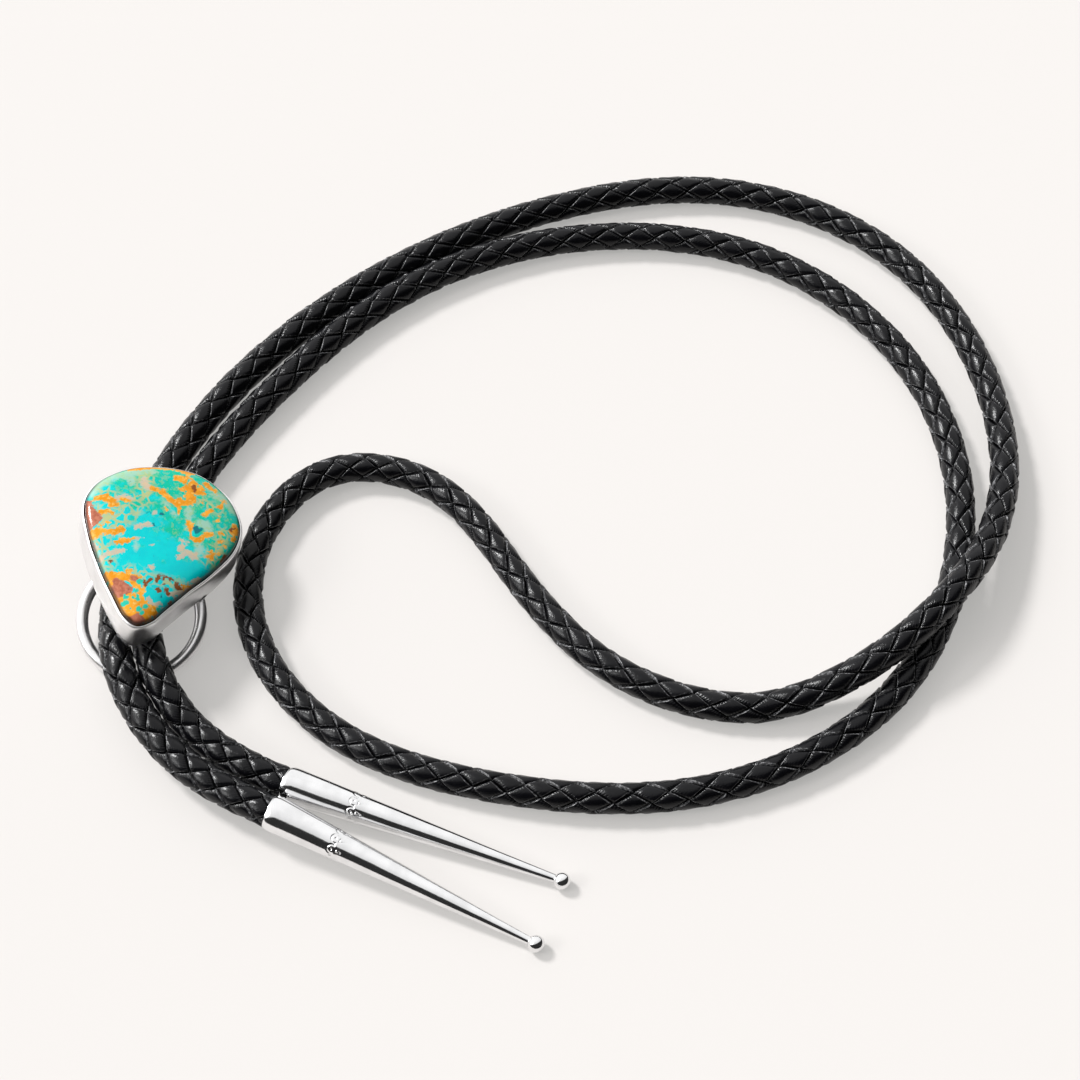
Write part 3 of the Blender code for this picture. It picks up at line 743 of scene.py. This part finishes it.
VEIL_AND_HIGHLIGHT = (
    # This first stroke along the upper left rim is partly pale veil and partly painted highlight
    ((-13.0, 8.6, 0.7), (-12.0, 10.8, 0.8), (-9.4, 13.0, 0.9), (-6.4, 14.2, 0.9), (-3.0, 15.0, 0.8)),
    ((-6.2, 13.4, 0.5), (-6.3, 11.4, 0.25)),
    ((-4.4, 13.6, 0.8), (-3.6, 11.6, 0.7), (-3.3, 9.4, 0.45)),
    ((6.4, 4.6, 0.6), (7.6, 4.6, 0.9), (8.2, 3.6, 0.6)),
    ((6.6, 0.2, 0.6), (7.2, -0.8, 0.7), (6.4, -2.0, 0.6)),
    ((8.6, 11.4, 0.6), (9.6, 10.8, 0.4)),
    ((7.6, 13.2, 0.5), (10.2, 11.4, 0.6), (12.2, 8.8, 0.4)),
    ((4.2, 7.6, 0.4), (4.6, 5.4, 0.5), (4.8, 3.0, 0.5)),
    ((-0.8, 9.0, 0.3), (0.8, 7.4, 0.3), (2.2, 5.6, 0.3)),
    ((-11.4, 5.6, 0.3), (-10.4, 4.4, 0.35), (-11.6, 3.9, 0.2)),
    ((-10.2, 3.0, 0.5), (-8.6, 3.9, 0.35)),
    ((-11.0, -3.4, 0.6), (-10.6, -5.4, 0.45), (-9.9, -7.0, 0.35)),
    ((-4.4, -1.0, 0.12), (-4.2, -2.4, 0.15)),
    ((-12.6, -1.6, 0.4), (-11.4, -2.6, 0.3)),
    ((-8.4, 1.6, 0.3), (-7.2, 0.0, 0.3)),
)
WEB = (
    ((-13.0, 0.0, 1.6), (-10.5, -2.2, 2.2), (-9.0, -5.5, 1.6)),
    ((-11.0, 4.0, 2.2), (-8.0, 2.6, 1.8), (-5.6, 5.2, 1.6)),
    ((-11.0, 9.6, 1.2), (-8.0, 6.4, 1.8), (-4.0, 8.2, 1.8), (-3.8, 12.6, 1.8)),
    ((6.4, 9.6, 1.0), (9.6, 8.2, 1.0)),
    ((11.0, 3.4, 1.2), (10.2, 0.0, 1.4), (8.8, -2.4, 1.2)),
    ((-5.0, -6.8, 0.8), (-1.4, -8.0, 1.0), (2.0, -8.6, 1.0), (4.6, -8.6, 0.8)),
)
TEAL = (
    ((-5.1, -12.2, 0.3), (-4.6, -12.3, 0.2)),
    ((-5.1, -13.5, 0.4), (-4.6, -13.3, 0.35)),
    ((-2.9, -12.3, 0.28), (-2.9, -11.8, 0.15)),
    ((-3.3, -10.9, 0.3), (-3.0, -10.5, 0.2)),
    ((-3.0, -9.2, 0.35), (-2.8, -8.9, 0.3)),
    ((-2.6, -14.4, 0.3),),
    ((-1.4, -13.6, 0.3),),
    ((-1.9, -15.0, 0.2),),
    ((-8.9, -9.6, 0.2), (-8.5, -9.3, 0.2)),
    ((-4.0, -14.2, 0.2),),
    ((0.9, -13.7, 0.2),),
    ((-3.7, -12.2, 0.15),),
)
DEEP = (
    ((5.9, 3.5, 0.4), (6.1, 2.7, 0.45), (6.8, 3.4, 0.3)),
    ((-2.9, 5.4, 0.1), (-2.4, 5.5, 0.12)),
    ((-0.6, 5.5, 0.1), (-0.3, 5.5, 0.1)),
    ((-1.7, 3.2, 0.15), (-1.4, 2.9, 0.1)),
    ((1.2, -11.2, 0.2),),
)


MATRIX_AND_PAINTED_RIM = {
    "gold": GOLD,
    "rust": RUST,
    "brown": BROWN_AND_SHADE,
    "sand": SAND,
    "veil_and_highlight": VEIL_AND_HIGHLIGHT,
    "web": WEB,
    "teal": TEAL,
    "deep": DEEP,
}
# Every stroke's edge lies this much further out, in millimetres, and is ragged
STROKE_GROWTH = 0.15
# The colours of the ground's stone: each one, and what it is mottled with
BLUE = ((0, 0.42, 0.42), (0, 0.34, 0.39))
GREEN = (0.0, 0.33, 0.20)
PALE_VEIL_AND_HIGHLIGHT = (0.347, 0.397, 0.298)
VEINS = ((0.36, 0.33, 0.11), (0.26, 0.32, 0.18))
GREEN_HAZE = (0.22, 0.34, 0.12)
SANDY = ((0.434, 0.316, 0.205), (0.347, 0.31, 0.248))
GOLDEN = ((0.589, 0.248, 0.019), (0.484, 0.18, 0.005), (0.558, 0.335, 0.081))
RUSTY = ((0.248, 0.074, 0.043), (0.347, 0.124, 0.074))
DARK_BROWN = (0.155, 0.046, 0.011)
LIGHT_TEAL = (0.012, 0.347, 0.248)
DEEP_BLUE = (0.002, 0.112, 0.136)
PEPPER = (0.012, 0.05, 0.05)
RIM_SHADE = (0.007, 0.012, 0.012)


def outline_ring(grow, count):
    """The stone's outline as evenly spread points, moved outwards by grow."""
    corners = np.array(STONE_OUTLINE) * (STONE_WIDTH / 2, STONE_HEIGHT / 2)
    fine = []
    for i in range(len(corners)):
        a, b, c, d = (corners[(i + k) % len(corners)] for k in (-1, 0, 1, 2))
        for t in np.linspace(0.0, 1.0, 20, endpoint=False):
            fine.append(0.5 * (2 * b + (c - a) * t + (2 * a - 5 * b + 4 * c - d) * t**2
                               + (3 * b - a - 3 * c + d) * t**3))
    fine = np.array(fine)
    steps = np.linalg.norm(np.roll(fine, -1, axis=0) - fine, axis=1)
    length = np.concatenate(([0.0], np.cumsum(steps)))
    fine = np.vstack((fine, fine[:1]))
    want = np.linspace(0.0, length[-1], count, endpoint=False)
    even = np.stack([np.interp(want, length, fine[:, k]) for k in (0, 1)], axis=1)
    along = np.roll(even, -1, axis=0) - np.roll(even, 1, axis=0)
    along /= np.linalg.norm(along, axis=1)[:, None]
    return even + grow * np.stack((-along[:, 1], along[:, 0]), axis=1)


def strokes(places, blobs):
    """How far inside the nearest stroke each place lies, in millimetres, negative outside."""
    best = np.full(len(places), -9.0)
    for blob in blobs:
        blob = np.array(blob)
        ends = blob[1:] if len(blob) > 1 else blob
        for (x0, y0, r0), (x1, y1, r1) in zip(blob, ends):
            way = np.array((x1 - x0, y1 - y0))
            offset = places - (x0, y0)
            share = np.clip(offset @ way / max(way @ way, 1e-9), 0.0, 1.0)
            apart = np.linalg.norm(offset - share[:, None] * way, axis=1)
            best = np.maximum(best, r0 + (r1 - r0) * share - apart)
    return best


def laid(points):
    """From the slide's own frame, back plate underside at zero, to where the slide lies."""
    return points @ np.array(Matrix.Rotation(SLIDE_ROLL, 3, "Y")).T + slide_shift


def bent_place(tree):
    """The part's own space, bent a little by noise so that nothing in it runs straight."""
    place = wire(tree, "TexCoord").node.outputs["Object"]
    shift = wire(tree, "TexNoise", {"Vector": place, "Scale": 900.0}).node.outputs["Color"]
    return wire(tree, "VectorMath", {0: shift, 1: (0.0009, 0.0009, 0.0009), 2: place},
                operation="MULTIPLY_ADD")


def polished_turquoise():
    """Blue-green body with matrix in gold, rust and sand, dark specks, painted highlight and shade at
    the rim, and a clear polish.
    """
    finish, tree, shader = new_finish("polished_turquoise")
    shader.inputs["Specular IOR Level"].default_value = 0.14
    shader.inputs["Roughness"].default_value = 0.12
    wide = sums(tree, "SUBTRACT", noise(tree, 420.0, 3.0, 0.6), 0.5)
    fine = sums(tree, "SUBTRACT", noise(tree, 1500.0, 4.0, 0.65), 0.5)
    rough_edge = sums(tree, "MULTIPLY_ADD", wide, 2.2, sums(tree, "MULTIPLY", fine, 1.9))

    def mask(name, soft, wobble=1.0):
        value = sums(tree, "MULTIPLY_ADD", rough_edge, wobble, field(tree, name))
        return ramp(tree, value, -soft - STROKE_GROWTH, soft - STROKE_GROWTH)

    green = ramp(tree, sums(tree, "MULTIPLY_ADD", wide, 2.4, field(tree, "green")), 0.2, 0.8)
    mottle = ramp(tree, noise(tree, 750.0, 4.0, 0.6), 0.38, 0.62)
    body = blend(tree, green, BLUE[0], GREEN)
    body = blend(tree, sums(tree, "MULTIPLY", mottle, 0.4), body, BLUE[1])
    # Pale veil, with painted highlight along the upper left rim
    body = blend(tree, sums(tree, "MULTIPLY", mask("veil_and_highlight", 0.5), 0.6), body, PALE_VEIL_AND_HIGHLIGHT)
    # A net of thin veins round small cells, where the ground once crushed the stone
    cells = wire(tree, "TexVoronoi", {"Vector": bent_place(tree), "Scale": 640.0},
                 feature="DISTANCE_TO_EDGE")
    veins = sums(tree, "MULTIPLY", ramp(tree, cells, 0.06, 0.16, 1.0, 0.0), mask("web", 1.0))
    web = blend(tree, ramp(tree, wide, -0.1, 0.1), *VEINS)
    body = blend(tree, sums(tree, "MULTIPLY", veins, 0.8), body, web)
    haze = sums(tree, "MULTIPLY", ramp(tree, noise(tree, 1100.0, 4.0, 0.65), 0.52, 0.60), green)
    body = blend(tree, sums(tree, "MULTIPLY", haze, 0.4), body, GREEN_HAZE)
    sand = blend(tree, ramp(tree, fine, -0.1, 0.1), *SANDY)
    body = blend(tree, sums(tree, "MULTIPLY", mask("sand", 0.16), 0.92), body, sand)
    gold = blend(tree, ramp(tree, wide, -0.14, 0.12), *GOLDEN[:2])
    gold = blend(tree, ramp(tree, fine, 0.0, 0.18), gold, GOLDEN[2])
    body = blend(tree, mask("gold", 0.13), body, gold)
    rust = blend(tree, ramp(tree, fine, -0.15, 0.15), *RUSTY)
    body = blend(tree, mask("rust", 0.12, 0.6), body, rust)
    # Dark brown matrix, with painted shade along the lower left rim
    body = blend(tree, mask("brown", 0.12, 0.8), body, DARK_BROWN)
    body = blend(tree, mask("teal", 0.10, 0.5), body, LIGHT_TEAL)
    body = blend(tree, mask("deep", 0.14, 0.6), body, DEEP_BLUE)
    pepper = ramp(tree, noise(tree, 2300.0, 2.0, 0.6), 0.70, 0.75)
    body = blend(tree, sums(tree, "MULTIPLY", pepper, 0.6), body, PEPPER)
    body = blend(tree, ramp(tree, field(tree, "rim"), 0.0, 0.6, 0.85, 0.0), body, RIM_SHADE)
    tree.links.new(body, shader.inputs["Base Color"])
    bump = wire(tree, "Bump", {"Height": fine, "Strength": 0.05, "Distance": 0.00005})
    tree.links.new(bump, shader.inputs["Normal"])
    return finish


girdle = CUP_DEPTH + STONE_GIRDLE
edge = outline_ring(0.0, STONE_SIDES)
shares = 1.0 - np.linspace(0.0, 1.0, DOME_RINGS, endpoint=False)**1.25
levels = [np.column_stack((edge, np.full(STONE_SIDES, BACK_PLATE + SETTING_GAP)))]
for share in shares:
    rise = (1 - share**DOME_SQUARENESS)**(1 / DOME_SQUARENESS)
    levels.append(np.column_stack((edge * share, np.full(STONE_SIDES, girdle + STONE_DOME * rise))))
points = np.concatenate((*levels, [(0.0, 0.0, girdle + STONE_DOME)]))
faces = ring_faces(len(levels), STONE_SIDES)
last = (len(levels) - 1) * STONE_SIDES
for j in range(STONE_SIDES):
    faces.append((last + j, last + (j + 1) % STONE_SIDES, len(points) - 1))
faces.append(tuple(range(STONE_SIDES))[::-1])
face_mm = points[:, :2] * 1000
marks = {name: strokes(face_mm, blobs) for name, blobs in MATRIX_AND_PAINTED_RIM.items()}
# The stone turns green towards its top and right, and its rim lies in the bezel's shade
marks["green"] = np.clip((face_mm[:, 0] * 0.6 + face_mm[:, 1] + 4) / 14, 0, 1)
half_width = STONE_WIDTH / 2 * 1000
marks["rim"] = np.concatenate((
    np.zeros(STONE_SIDES),
    np.repeat((1 - shares) * half_width, STONE_SIDES),
    [half_width],
))
# The whole slide is laid so that the stone fills its place in the frame
slide_shift = np.zeros(3)
low, high = (np.array(corner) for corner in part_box("stone"))
turned = laid(points)
slide_shift = (low + high) / 2 - (turned.min(axis=0) + turned.max(axis=0)) / 2
turquoise = show("turquoise_cabochon", laid(points), faces, polished_turquoise(), marks)
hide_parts("stone")

# The setting. A plain bezel cup of sheet silver, its wall rubbed down over the stone's edge, on
# a flat back plate. It is filed and polished by hand, so the wall isn't perfectly even.
CUP_WALL = 0.00035
CUP_SIDES = 320
# Up the outside, over the rim and down the inside: step outwards from the wall's outer face, and
# height above the back plate's underside
CUP_PROFILE = (
    (-0.00025, 0.0),
    (-0.00008, 0.00006),
    (0.0, 0.00025),
    (0.00001, 0.0012),
    (0.00000, 0.0026),
    (-0.00001, 0.0040),
    (-0.00002, 0.0052),
    (-0.00007, 0.0058),
    (-0.00016, 0.0061),
    (-0.00030, 0.00625),
    (-0.00045, 0.00628),
    (-0.00056, 0.00622),
    (-0.00058, 0.00600),
    (-0.00036, 0.00560),
    (-0.00035, 0.00500),
    (-0.00035, 0.00100),
)

wall_turn = np.arange(CUP_SIDES) * 2 * math.pi / CUP_SIDES
rings = []
for inset, height in CUP_PROFILE:
    ripple = 0.00003 * (np.sin(9 * wall_turn + 1.0) + np.sin(14 * wall_turn + 600 * height))
    ring = outline_ring(SETTING_GAP + CUP_WALL + inset, CUP_SIDES)
    out = ring / np.linalg.norm(ring, axis=1)[:, None]
    ring = ring + out * ripple[:, None] * min(1.0, height / 0.002)
    rings.append(np.column_stack((ring, np.full(CUP_SIDES, height))))
faces = ring_faces(len(rings), CUP_SIDES)
faces.append(tuple(range(CUP_SIDES))[::-1])
last = (len(rings) - 1) * CUP_SIDES
faces.append(tuple(range(last, last + CUP_SIDES)))
setting_silver = polished_silver("setting_silver", 0.27, (0.88, 0.87, 0.865), 0.00007)
cup = show("bezel_cup", laid(np.concatenate(rings)), faces, setting_silver)
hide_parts("bezel_setting")

# The ring. Round silver wire, bent to a ring and soldered behind the plate, through which both
# strands of the cord run. It slopes down from the plate to the table.
RING_DIAMETER = 0.0215
RING_WIRE = 0.0023
RING_SLOPE = math.radians(18.0)
RING_OFFSET_X = -0.0025
RING_OFFSET_Y = -0.0084
SOLDER_RADIUS = 0.0017
SOLDER_ANGLES = (math.radians(20.0), math.radians(62.0))
# From the wire up into the plate: shares of the rise and of the radius
SOLDER_PROFILE = ((0.0, 0.56), (0.25, 0.56), (0.45, 0.58), (0.62, 0.64), (0.78, 0.76), (1.0, 0.82))
RING_STEPS = 160
WIRE_SIDES = 32
SOLDER_SIDES = 40


def ring_point(angle):
    """The middle of the wire, at an angle round the ring."""
    radius = RING_DIAMETER / 2
    return np.array((
        RING_OFFSET_X + slide_shift[0] + radius * math.cos(angle),
        RING_OFFSET_Y + slide_shift[1] + radius * math.cos(RING_SLOPE) * math.sin(angle),
        RING_WIRE / 2 + radius * math.sin(RING_SLOPE) * (1 + math.sin(angle)),
    ))


slope = np.array(Matrix.Rotation(RING_SLOPE, 3, "X"))
points = []
for turn in np.arange(RING_STEPS) * 2 * math.pi / RING_STEPS:
    outwards = slope @ (math.cos(turn), math.sin(turn), 0.0)
    upwards = slope @ (0.0, 0.0, 1.0)
    for around in np.arange(WIRE_SIDES) * 2 * math.pi / WIRE_SIDES:
        offset = outwards * math.cos(around) + upwards * math.sin(around)
        points.append(ring_point(turn) + RING_WIRE / 2 * offset)
faces = ring_faces(RING_STEPS, WIRE_SIDES, closed=True)
plate_up = np.array(Matrix.Rotation(SLIDE_ROLL, 3, "Y")) @ (0.0, 0.0, 1.0)
for angle in SOLDER_ANGLES:
    foot = ring_point(angle)
    rise = (slide_shift - foot) @ plate_up + BACK_PLATE / 2
    start = len(points)
    for rise_share, radius_share in SOLDER_PROFILE:
        for around in np.arange(SOLDER_SIDES) * 2 * math.pi / SOLDER_SIDES:
            radius = SOLDER_RADIUS * radius_share
            flat = Vector((radius * math.cos(around), radius * math.sin(around), rise * rise_share))
            points.append(foot + np.array(Matrix.Rotation(SLIDE_ROLL, 3, "Y") @ flat))
    for face in ring_faces(len(SOLDER_PROFILE), SOLDER_SIDES):
        faces.append(tuple(start + k for k in face))
ring_silver = polished_silver("ring_silver", 0.24, (0.88, 0.87, 0.87), 0.00006)
ring = show("wire_ring", points, faces, ring_silver)
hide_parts("bezel_setting")

# The table and the light. A pale table under two soft lights from the left. The room is bright
# above and beyond the tie and dark on the camera's side, which silver and polished leather mirror.
floor_data = bpy.data.meshes.new("table")
floor_data.from_pydata([(-3, -3, 0), (3, -3, 0), (3, 3, 0), (-3, 3, 0)], [], [(0, 1, 2, 3)])
floor = bpy.data.objects.new("table", floor_data)
bpy.context.scene.collection.objects.link(floor)
paper, tree, shader = new_finish("pale_table")
shader.inputs["Base Color"].default_value = (0.268, 0.254, 0.246, 1.0)
shader.inputs["Roughness"].default_value = 0.9
shader.inputs["Specular IOR Level"].default_value = 0.1
shader.inputs["Emission Color"].default_value = (0.392, 0.388, 0.378, 1.0)
shader.inputs["Emission Strength"].default_value = 1.0
floor_data.materials.append(paper)

# A key light from the far left, and a weak one from the near left that draws the leather's edges
for name, energy, spread, towards in (
    ("key", 5.0, 12.0, (-0.58, 0.42, 0.70)),
    ("edge", 0.8, 14.0, (-0.80, -0.22, 0.56)),
):
    lamp_data = bpy.data.lights.new(name, "SUN")
    lamp_data.energy = energy
    lamp_data.angle = math.radians(spread)
    lamp = bpy.data.objects.new(name, lamp_data)
    bpy.context.scene.collection.objects.link(lamp)
    lamp.rotation_euler = Vector(towards).to_track_quat("Z", "Y").to_euler()

room = bpy.data.worlds.new("room")
bpy.context.scene.world = room
room.use_nodes = True
tree = room.node_tree
tree.nodes.clear()
looking = wire(tree, "TexCoord").node.outputs["Generated"]
DARK_SIDE = (0.36, -0.73, -0.58)
WINDOW = (-0.80, 0.0, 0.60)
behind = wire(tree, "VectorMath", {0: looking, 1: DARK_SIDE}, operation="DOT_PRODUCT")
behind = behind.node.outputs["Value"]
room_light = ramp(tree, behind, -0.30, -0.235)
room_light = wire(tree, "Mix", {0: room_light, 2: ramp(tree, behind, -0.85, -0.25, 1.15, 0.86), 3: 0.03})
# A wide soft window on the left, brightest in its middle
window = wire(tree, "VectorMath", {0: looking, 1: WINDOW}, operation="DOT_PRODUCT")
window = window.node.outputs["Value"]
room_light = sums(tree, "ADD", room_light, ramp(tree, window, 0.88, 0.985, 0.0, 2.2))
shade = wire(tree, "CombineColor", {0: room_light, 1: room_light, 2: room_light})
seen = wire(tree, "LightPath").node.outputs["Is Camera Ray"]
shade = blend(tree, seen, shade, (0.93, 0.91, 0.89))
light = wire(tree, "Background", {"Color": shade, "Strength": 1.0})
output = tree.nodes.new("ShaderNodeOutputWorld")
tree.links.new(light, output.inputs["Surface"])
